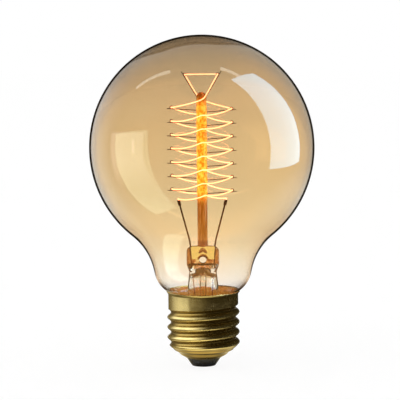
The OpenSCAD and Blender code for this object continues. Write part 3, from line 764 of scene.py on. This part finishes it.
def stemLevels():
    def ring(point):
        return (point[0], point[0], 2, point[1])

    top, low = stem["topDiameter"] / 2, stem["lowDiameter"] / 2
    half, deep, edge = stem["pressWidth"] / 2, stem["pressDepth"] / 2, stem["edge"]
    corner, square = stem["cornerRadius"], stem["squareness"]
    levels = [(0, 0, square, pressZ), (half * 0.35, deep * 0.35, square, pressZ)]
    for a in range(90, -1, -10):
        a = radians(a)
        levels.append((half - corner + corner * cos(a), deep - edge + edge * cos(a),
                       square, pressZ - corner + corner * sin(a)))
    domeZ, fullZ = pressFootZ - stem["domeDrop"], pressFootZ + stem["pressRise"]
    levels.append((half, deep, square, mix(fullZ, pressZ - corner, 0.5)))
    for t in shares(8):
        levels.append((mix(half, top, eased(t)), mix(deep, top, eased(t) ** 0.8), mix(square, 2, t),
                       mix(fullZ, domeZ, t)))
    levels += [ring((mix(top, low, t), mix(domeZ, trumpetZ, t))) for t in (0.33, 0.66)]
    levels += [ring(p) for p in trumpetLine(low, stem["trumpetHeight"])]
    neck = envelope["neckDiameter"] / 2
    levels += [ring((neck, neckEndZ)), ring((neck, neckEndZ - stem["wall"]))]
    inner = trumpetLine(low - stem["wall"], stem["trumpetHeight"] + stem["wall"])
    levels += [ring(p) for p in inner[::-1]]
    roof = top - stem["wall"]
    levels += [ring(p) for p in arc((roof - stem["roofEdge"], roofZ - stem["roofEdge"]),
                                    stem["roofEdge"], 0, 90, 15)]
    return levels + [ring((0, roofZ))]


def cutFrom(bm, cutter):
    # Boolean difference of two meshes
    body, tool = [meshObject("cutting", source) for source in (bm, cutter)]
    modifier = body.modifiers.new("cut", "BOOLEAN")
    modifier.operation = "DIFFERENCE"
    modifier.solver = "EXACT"
    modifier.object = tool
    result = finalMesh(body)
    bpy.data.objects.remove(tool)
    return result


def makeStem():
    glass = makeStemGlass()
    body = formed(stemLevels(), 96)
    bmesh.ops.recalc_face_normals(body, faces=body.faces)
    # the exhaust hole runs through the press and opens down into the tube's bore
    radius, hole = stem["holeDiameter"] / 2 * mm, bmesh.new()
    place = Matrix.Translation(upward((pressZ - stem["holeDepth"]) * mm))
    bmesh.ops.create_cone(hole, cap_ends=True, segments=48, radius1=radius, radius2=radius,
                          depth=2 * stem["pressDepth"] * mm,
                          matrix=place @ Matrix.Rotation(radians(90), 4, "X"))
    body = cutFrom(body, hole)
    sharpEdges(body, 40)
    addPiece("flareAndPress", body, glass, "stem_flare")
    outer, bore = stem["exhaustDiameter"] / 2, stem["boreDiameter"] / 2
    tip = neckEndZ - stem["exhaustReach"]
    outline = ([(bore, roofZ), (outer, roofZ)]
               + arc((0, tip + outer * 1.6), outer, 0, -60, 10) + [(0, tip)])
    inner = [(0, tip + outer), (bore * 0.7, tip + outer * 1.4), (bore, tip + outer * 2.2), (bore, roofZ)]
    tube = spun(outline + inner, 48, crisp=40)
    addPiece("tippedExhaustTube", tube, glass, "exhaust_tube")


makeStem()
print("stem done")


# Support rod, melted on to the press, with the hooks' shanks melted in

rod = {"diameter": 3.6, "footRadius": 0.7, "seatBump": 0.16, "seatReach": 0.9, "rows": 120}
hook = {
    "levels": 7, "rise": 4.89, "firstEye": 20.1, "rightDrop": 0.6, "eyeReach": 10.8, "slope": 4,
    "wire": 0.28, "gap": 0.1, "tail": 1.6, "seat": 1, "topReach": 5.9, "topRise": 6.3, "topSeat": 1.9,
    "curlSteps": 24, "curlLift": 0.75,
}
filament = {
    "diameter": 0.5, "wire": 0.17, "pitch": 0.32, "clear": 1.4, "sag": 0.7, "spanSteps": 28,
    "crossReach": 1.4, "crossDrop": 1.6, "eyePass": 0.45, "turnSteps": 18, "turnShape": 0.6, "perTurn": 7,
}
curlRadius = filament["diameter"] / 2 + hook["wire"] / 2 + hook["gap"]
slope = radians(hook["slope"])
sideWay = Vector((cos(slope), sin(slope)))
topEye = Vector((hook["topReach"], rodTopZ + hook["topRise"]))
topFoot = Vector((rod["diameter"] / 4, rodTopZ - hook["seat"] - hook["topSeat"]))
topChord = topEye - topFoot
topSlope = atan2(topChord.y, topChord.x) - asin(curlRadius / topChord.length)
topWay = Vector((cos(topSlope), sin(topSlope)))


def eye(side, level):
    drop = hook["rightDrop"] if side > 0 else 0
    return Vector((hook["eyeReach"],
                   pressZ + hook["firstEye"] + (hook["levels"] - level) * hook["rise"] - drop))


def leftOf(way):
    return Vector((-way.y, way.x))


def sideFoot(centre):
    low = centre - curlRadius * leftOf(sideWay)
    run = (low.x - rod["diameter"] / 2 + hook["seat"]) / sideWay.x
    return low - run * sideWay


def hookPath(foot, centre, way, side):
    # shank, one curl round the filament and a tail, as (outwards, across, up)
    left = leftOf(way)
    low = centre - curlRadius * left
    lift = hook["wire"] * hook["curlLift"]
    path = [(foot.x, -lift, foot.y)]
    for t in shares(hook["curlSteps"]):
        a = 2 * pi * t
        q = centre + curlRadius * (way * sin(a) - left * cos(a))
        path.append((q.x, mix(-lift, lift, t), q.y))
    path.append((low.x + way.x * hook["tail"], lift, low.y + way.y * hook["tail"]))
    return [Vector((side * x, side * y, z)) for x, y, z in path]


def makeRod():
    radius, foot = rod["diameter"] / 2, rod["footRadius"]
    outline = [(0, pressZ)] + arc((radius + foot, pressZ + foot), foot, -90, -180, 10)
    straight = rodTopZ - radius - pressZ - foot
    outline += [(radius, pressZ + foot + straight * i / rod["rows"]) for i in range(1, rod["rows"])]
    outline += arc((0, rodTopZ - radius), radius, 0, 90, 10)
    bm = spun(outline, 48)
    seats = [Vector((side * radius, 0, sideFoot(eye(side, k)).y + hook["seat"] * tan(slope)))
             for side in sides for k in range(1, hook["levels"] + 1)]
    for vert in bm.verts:
        place = vert.co / mm
        near = min((place - seat).length for seat in seats)
        out = Vector((place.x, place.y, 0))
        if out.length > radius * 0.8:
            swell = rod["seatBump"] * exp(-(near / rod["seatReach"]) ** 2)
            vert.co += out.normalized() * swell * mm
    lowLit = pressZ + hook["firstEye"] - 3
    addPiece("glassRod", bm, makeRodGlass(lowLit, rodTopZ - 4), "support_rod")


def makeHooks():
    wire = makeWireMetal("hookWire", (0.10, 0.045, 0.03), (0.30, 0.16, 0.10), 0.35)
    for side in sides:
        name = sideName[side]
        for k in range(1, hook["levels"] + 1):
            path = hookPath(sideFoot(eye(side, k)), eye(side, k), sideWay, side)
            addWire(f"sideHook_{name}_{k}", path, hook["wire"], wire, f"hook_{name}_{k}")
        path = hookPath(topFoot, topEye, topWay, side)
        addWire("crownHook_" + name, path, hook["wire"], wire, "top_hook_" + name)


makeRod()
makeHooks()
print("rod and hooks done")


# Leads and the clamps that hold the filament's ends

lead = {
    "diameter": 0.6, "gap": 8.8, "gapLow": 7.4, "tipGap": 16.6, "tipHeight": 15.1, "seat": 1, "stub": 0.4,
    "tailOut": 0.5, "sealWire": 0.5, "outer": 0.4, "neckRoom": 0.12, "turnDown": 1.5,
}
clamp = {
    "diameter": 1.1, "length": 2, "crimps": 2, "crimpDepth": 0.3, "crimpReach": 0.22,
    "lip": 0.15, "mouth": 0.8, "edge": 0.12, "rows": 24,
}


def leadPoints(side):
    # where a lead passes the flare's roof, leaves the press and ends, and its direction up to there
    foot = Vector((side * lead["gapLow"] / 2, 0, roofZ))
    top = Vector((side * lead["gap"] / 2, 0, pressZ))
    tip = Vector((side * lead["tipGap"] / 2, 0, pressZ + lead["tipHeight"]))
    return foot, top, tip, (tip - top - upward(lead["stub"])).normalized()


def makeClamp(side, metal):
    # a sleeve with rolled ends, nipped flat at its crimps
    long, radius, edge = clamp["length"], clamp["diameter"] / 2, clamp["edge"]
    outline = [(lead["diameter"] / 2, clamp["lip"]), (radius * clamp["mouth"], 0)]
    outline += [(radius, edge + (long - 2 * edge) * t) for t in shares(clamp["rows"])]
    outline += [(radius * clamp["mouth"], long), (filament["diameter"] / 2, long - clamp["lip"])]
    bm = spun(outline, 32, closed=True)
    middles = [long * (i + 1) / (clamp["crimps"] + 1) for i in range(clamp["crimps"])]
    for vert in bm.verts:
        nip = max(exp(-((vert.co.z / mm - z) / clamp["crimpReach"]) ** 2) for z in middles)
        if Vector((vert.co.x, vert.co.y)).length > radius * 0.75 * mm:
            vert.co.y *= 1 - clamp["crimpDepth"] * nip
    tip, way = leadPoints(side)[2:]
    turn = upward(1).rotation_difference(way).to_matrix().to_4x4()
    place = (tip - way * long / 2) * mm
    bmesh.ops.transform(bm, matrix=Matrix.Translation(place) @ turn, verts=bm.verts)
    name = sideName[side]
    addPiece("endClamp_" + name, bm, metal, "filament_clamp_" + name)


def makeLeads():
    # painted shade: the nickel stem leads are drawn near-black brown instead of grey
    shadedNickel = makeWireMetal("leadWire", (0.04, 0.015, 0.005), (0.14, 0.06, 0.025), 0.3)
    sleeve = makeWireMetal("clampMetal", (0.04, 0.02, 0.012), (0.16, 0.09, 0.05), 0.35)
    copper = makeWireMetal("leadCopper", (0.50, 0.20, 0.10), (0.78, 0.40, 0.22), 0.3)
    seal = makeWireMetal("sealCopper", (0.35, 0.10, 0.05), (0.60, 0.22, 0.10), 0.4)
    for side in sides:
        name = sideName[side]
        foot, top, tip, way = leadPoints(side)
        joint, bend = top - upward(lead["seat"]), top + upward(lead["stub"])
        path = roundedPath([joint, top, bend, bend + way, tip], 3)
        addWire("stemLead_" + name, path, lead["diameter"], shadedNickel, "inner_lead_" + name, 16)
        addWire("copperSeal_" + name, [joint, foot], lead["sealWire"], seal, "seal_wire_" + name,
                16)
        makeClamp(side, sleeve)
    # the outer leads: down to the contact, and over the neck's end and up to the weld
    below, lipLow = neckEndZ - stem["exhaustReach"], neckEndZ - stem["wall"]
    under = lipLow - lead["outer"]
    gapY = envelope["neckDiameter"] / 2 + lead["outer"] / 2 + lead["neckRoom"]
    weldLow, weldY = lowZ["shell_weld"], sum(end.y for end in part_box("shell_weld")) / 2 / mm
    toContact = [(-2.9, 0.3, neckEndZ + 10), (-2.6, 0.6, neckEndZ + 4), (-2.5, 0.4, below),
                 (-1.3, 0.1, below - 2.2), (0, 0, below - 3.6), (0, 0, lowZ["contact_lead"])]
    toWeld = [(3.3, 0.8, neckEndZ + 10), (3.2, 2.4, neckEndZ + 4), (2.6, 4.6, lipLow),
              (1.4, 7.6, under - 0.2), (0.6, 9.4, under - 0.2), (0.1, gapY, under + 0.2),
              (0, gapY, neckEndZ + 1), (0, gapY, weldLow - 1.7), (0, weldY, weldLow - 0.1)]
    for side, route, name in ((-1, toContact, "contact"), (1, toWeld, "shell")):
        foot = leadPoints(side)[0]
        path = roundedPath([foot, foot - upward(lead["turnDown"])] + route, 3)
        addWire(name + "Wire", path, lead["outer"], copper, name + "_lead")


makeLeads()
print("leads done")


# Filament: one wire, wound as a fine coil along a double helix round the rod

def atEye(side, level):
    centre = eye(side, level)
    return Vector((side * centre.x, 0, centre.y))


def span(high, low, way):
    # half a turn down to a hook on the other side, round the front (-1) or the back (1)
    points = []
    for t in shares(filament["spanSteps"], 1)[:-1]:
        f = (1 - cos(pi * t)) / 2
        u = (2 * f) % 1
        points.append(Vector((mix(high.x, low.x, f), way * strandRadius * sin(pi * t),
                              mix(high.z, low.z, f) - 4 * filament["sag"] * u * (1 - u))))
    return points


def strand(side):
    # from a crown hook down to a lead
    points = [Vector((side * (topEye.x + x), y * filament["eyePass"], topEye.y + z))
              for x, y, z in ((-0.1, side, 0.05), (0, 0, 0), (-0.1, -side, -0.15))]
    crossing = Vector((side * filament["crossReach"], -side * strandRadius,
                       rodTopZ - filament["crossDrop"]))
    points += [mix(points[2], crossing, 0.5), crossing]
    end = atEye(-side, 1)
    for t in shares(filament["turnSteps"], 1)[:-1]:
        turn = pi / 2 * t
        points.append(Vector((mix(crossing.x, end.x, sin(turn)), crossing.y * cos(turn),
                              mix(crossing.z, end.z, sin(turn) ** filament["turnShape"]))))
    tip, way = leadPoints(side if hook["levels"] % 2 else -side)[2:]
    outside = tip + way * (clamp["length"] / 2 + lead["tailOut"])
    for k in range(1, hook["levels"] + 1):
        at = -side if k % 2 else side
        start = atEye(at, k)
        last = k == hook["levels"]
        points += [start] + span(start, outside if last else atEye(-at, k + 1), -at)
    return points + [outside, mix(outside, tip, 0.5), tip]


def evenly(points, step):
    # points spaced evenly along a path
    spaced, left = [points[0]], step
    for a, b in zip(points, points[1:]):
        length = (b - a).length
        while length >= left:
            a = mix(a, b, left / length)
            length -= left
            left = step
            spaced.append(a)
        left -= length
    return spaced


def coiled(path, radius, perTurn):
    # a coil round a path: the frame is carried along it without twist
    ways = [(b - a).normalized() for a, b in zip(path, path[1:])]
    ways.append(ways[-1])
    normal = ways[0].orthogonal().normalized()
    points = []
    for i, (place, way) in enumerate(zip(path, ways)):
        normal = (normal - normal.dot(way) * way).normalized()
        turn = 2 * pi * i / perTurn
        points.append(place + radius * (normal * cos(turn) + way.cross(normal) * sin(turn)))
    return points


def makeFilament():
    perTurn = filament["perTurn"]
    line = roundedPath(strand(1)[::-1] + strand(-1), 2)
    line = evenly(line, filament["pitch"] / perTurn)
    coil = coiled(line, (filament["diameter"] - filament["wire"]) / 2, perTurn)
    print("filament:", round(len(line) * filament["pitch"] / perTurn), "mm of coil,",
          len(line) // perTurn, "turns")
    addWire("coiledFilament", coil, filament["wire"], makeGlow(), "filament", 4)


strandRadius = rod["diameter"] / 2 + filament["clear"]
makeFilament()


# Cap: rolled brass shell with its thread, insulator, contact, solder, cement and weld

cap = {
    "height": 26.85, "sheet": 0.3, "skirtDiameter": 25.2, "rimDiameter": 26.4, "rimFlare": 1,
    "cornerDiameter": 21.3, "cornerHeight": 6.1, "edgeDiameter": 13.3, "edgeHeight": 3.15, "bead": 0.2,
    "threadDiameter": 26.1, "rootDiameter": 23.4, "pitch": 3.629, "threadFoot": 6.8, "threadHead": 22.6,
    "crestStart": 8.6, "runIn": 1.2, "crestShare": 0.25, "crestSharp": 1.2, "rootSharp": 0.8,
    "above": 1.1, "rows": 150, "columns": 240, "beadFrom": 0.36, "beadStep": 0.62, "slantRows": 36,
    "cornerRise": 1.1, "cornerRows": 12, "flareRows": 8, "flareShape": 1.7,
}


def beadSwell(t):
    return cap["bead"] * (1 + cos(2 * pi * (t - cap["beadFrom"]) / cap["beadStep"])) / 2


def capOutline():
    edge = Vector((cap["edgeDiameter"] / 2, cap["edgeHeight"]))
    corner = Vector((cap["cornerDiameter"] / 2, cap["cornerHeight"]))
    skirt = cap["skirtDiameter"] / 2
    slant = (corner - edge).normalized()
    out = Vector((slant.y, -slant.x))
    rise = Vector((skirt, cap["cornerHeight"] + (skirt - corner.x) * cap["cornerRise"]))
    outline = [mix(edge, corner, t) + beadSwell(t) * out for t in shares(cap["slantRows"])]
    outline += [Vector((mix(corner.x, rise.x, sin(pi / 2 * t)), mix(corner.y, rise.y, t)))
                for t in shares(cap["cornerRows"], 1)]
    top = cap["threadHead"] + cap["above"]
    outline += [Vector((skirt, mix(rise.y, top, t))) for t in shares(cap["rows"], 1)]
    flare, rim = cap["height"] - cap["rimFlare"], cap["rimDiameter"] / 2
    return outline + [Vector((mix(skirt, rim, t ** cap["flareShape"]), mix(flare, cap["height"], t)))
                      for t in shares(cap["flareRows"])]


def threadSwell(angle, h):
    # how far the thread stands out of the skirt's radius at an angle and height
    pitch, partTurn = cap["pitch"], angle / (2 * pi)
    turn = (h - cap["crestStart"]) / pitch - partTurn
    wave = cos(2 * pi * turn) - cap["crestShare"]
    crest = cap["crestStart"] + pitch * (round(turn) + partTurn)
    root = cap["crestStart"] + pitch * (floor(turn) + 0.5 + partTurn)

    def faded(height, head):
        return (eased((height - cap["threadFoot"]) / cap["runIn"])
                * eased((head - height) / cap["runIn"]))

    if wave > 0:
        out = (cap["threadDiameter"] - cap["skirtDiameter"]) / 2
        sharp = (wave / (1 - cap["crestShare"])) ** cap["crestSharp"]
        return out * sharp * faded(crest, cap["threadHead"] - pitch / 2)
    deep = (cap["skirtDiameter"] - cap["rootDiameter"]) / 2
    return (-deep * (-wave / (1 + cap["crestShare"])) ** cap["rootSharp"]
            * faded(root, cap["threadHead"]))


def makeShell():
    bm = spun(capOutline(), cap["columns"], lift=footZ)
    for vert in bm.verts:
        angle = atan2(vert.co.y, vert.co.x) % (2 * pi)
        out = Vector((cos(angle), sin(angle), 0))
        vert.co += out * threadSwell(angle, vert.co.z / mm - footZ) * mm
    bmesh.ops.recalc_face_normals(bm, faces=bm.faces)
    # the sheet grows inwards, whichever way its faces look
    outward = sum(1 if f.normal.dot(f.calc_center_median()) > 0 else -1 for f in list(bm.faces)[::500])
    thickness = cap["sheet"] * mm * (1 if outward > 0 else -1)
    bmesh.ops.solidify(bm, geom=list(bm.faces), thickness=thickness)
    sharpEdges(bm, 60)
    addPiece("threadedShell", bm, makeBrass(), "cap_shell")


insulator = {
    "footRadius": 4.4, "round": 0.5, "hole": 1.3, "seatRadius": 3.36, "seatDepth": 0.3, "gap": 0.04,
    "brim": 0.3, "inside": 1.0, "lidInside": 1.2, "lid": 0.5,
}
# outlines as (radius, height over the piece's foot), in the eyelet up to its rolled top
contact = {
    "bore": 0.75, "outer": 1.25, "top": 3.4,
    "disc": [(0.85, 0), (3.15, 0), (3.3, 0.12), (3.3, 0.38), (1.5, 0.40), (1.25, 0.6)],
    "solder": [(0, 0), (1.0, 0.0), (1.25, 0.06), (1.45, 0.16)], "solderFoot": 1.56, "plug": 0.74,
}


def makeInsulator():
    high, edge = cap["cornerHeight"], cap["edgeHeight"]
    corner = cap["cornerDiameter"] / 2
    wide = cap["edgeDiameter"] / 2 - cap["sheet"] - insulator["gap"]
    hole, seat, deep = insulator["hole"], insulator["seatRadius"], insulator["seatDepth"]
    turn, lid = insulator["round"], high + insulator["lid"]
    outline = [(hole, lid), (hole, deep), (seat, deep), (seat, 0)]
    outline += arc((insulator["footRadius"] - turn, turn), turn, -90, -35, 8)
    outline += [(wide, edge - insulator["gap"]), (wide, edge + insulator["brim"]),
                (corner - insulator["inside"], high), (corner - insulator["lidInside"], lid)]
    bm = spun(outline, 96, closed=True, lift=footZ, crisp=35)
    glass = makeMottled("blackGlass", (0.008, 0.009, 0.012), (0.022, 0.025, 0.032), 2.5, (1.2, 3),
                        (0.15, 0.08), Roughness=0.16, IOR=1.42, Coat_Weight=0.1, Coat_Roughness=0.05)
    addPiece("mouldedInsulator", bm, glass, "cap_insulator")


def makeContact():
    base, top = lowZ["contact_eyelet"], highZ["contact_solder"]
    bore, outer, high = contact["bore"], contact["outer"], base + contact["top"]
    outline = ([(bore, high), (bore, base + 0.1)] + [(r, base + z) for r, z in contact["disc"]]
               + [(outer, high)])
    bm = spun(outline, 72, closed=True, crisp=50)
    metal = makeMottled("contactBrass", (0.42, 0.30, 0.12), (0.72, 0.56, 0.27), 1.0, (0.3, 2),
                        (0.15, 0.03), Metallic=1.0, Roughness=0.3)
    addPiece("contactDisc", bm, metal, "contact_eyelet")
    solder = makeMottled("tinSolder", (0.42, 0.42, 0.43), (0.70, 0.70, 0.72), 0.7, (0.5, 3),
                         (0.3, 0.06), Metallic=1.0, Roughness=0.34)
    plug, under = contact["plug"], base - 0.01
    outline = contact["solder"] + [(contact["solderFoot"], under), (plug, under), (plug, top), (0, top)]
    addPiece("solderDrop", spun(outline, 48), solder, "contact_solder")
    low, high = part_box("shell_weld")
    middle = (low + high) / 2
    bm = bmesh.new()
    bmesh.ops.create_icosphere(bm, subdivisions=4, radius=(high.x - low.x) / 2)
    bmesh.ops.translate(bm, verts=bm.verts, vec=middle)
    for vert in bm.verts:
        vert.co += (vert.co - middle) * (0.06 * noise.noise(vert.co / mm * 2.2) - 0.05)
    addPiece("weldBead", bm, solder, "shell_weld")


cement = {
    "sheets": 1.5, "inset": 0.06, "glassGap": 0.04, "spill": 0.2, "climb": 0.38, "lumps": 0.9,
    "lumpHeight": 0.25, "lumpShift": 0.35,
}


def makeCementRing():
    # baked cement between neck and brass, which climbs the rim's flare in lumps
    low, high = lowZ["basing_cement"], highZ["basing_cement"]
    inside = cap["sheet"] * cement["sheets"]
    skirt = cap["skirtDiameter"] / 2 - inside - cement["inset"]
    root = cap["rootDiameter"] / 2 - inside - cement["inset"]
    step = footZ + cap["threadHead"] + cap["above"]
    gap, spill = cement["glassGap"], skirt - cement["spill"]
    glass = [(r + gap, z + globeZ) for r, z in envelopeOutline(-gap)]
    inner = [(r, z) for r, z in glass if low < z < high and r < spill]
    flare = footZ + cap["height"] - cap["rimFlare"]
    grown = (cap["rimDiameter"] - cap["skirtDiameter"]) / 2
    lip = [mix(flare, high + cement["climb"], t) for t in shares(6, 1)]
    outline = ([(root, low), (root, step)] + [(skirt, mix(step, flare, t)) for t in shares(8)]
               + [(skirt + grown * ((z - flare) / cap["rimFlare"]) ** cap["flareShape"], z) for z in lip]
               + [(mix(spill, inner[0][0], i / 4), mix(high + 0.15, high, i / 2)) for i in range(3)]
               + inner + [(inner[-1][0], low)])
    bm = spun(outline, 144, closed=True, crisp=50)
    for vert in bm.verts:
        if vert.co.z / mm > high - 0.1:
            lump = noise.noise(vert.co / mm * cement["lumps"]) - cement["lumpShift"]
            vert.co.z += cement["lumpHeight"] * mm * lump
    addPiece("cementRing", bm, makeCement(), "basing_cement")


makeShell()
makeInsulator()
makeContact()
makeCementRing()
print("cap done")
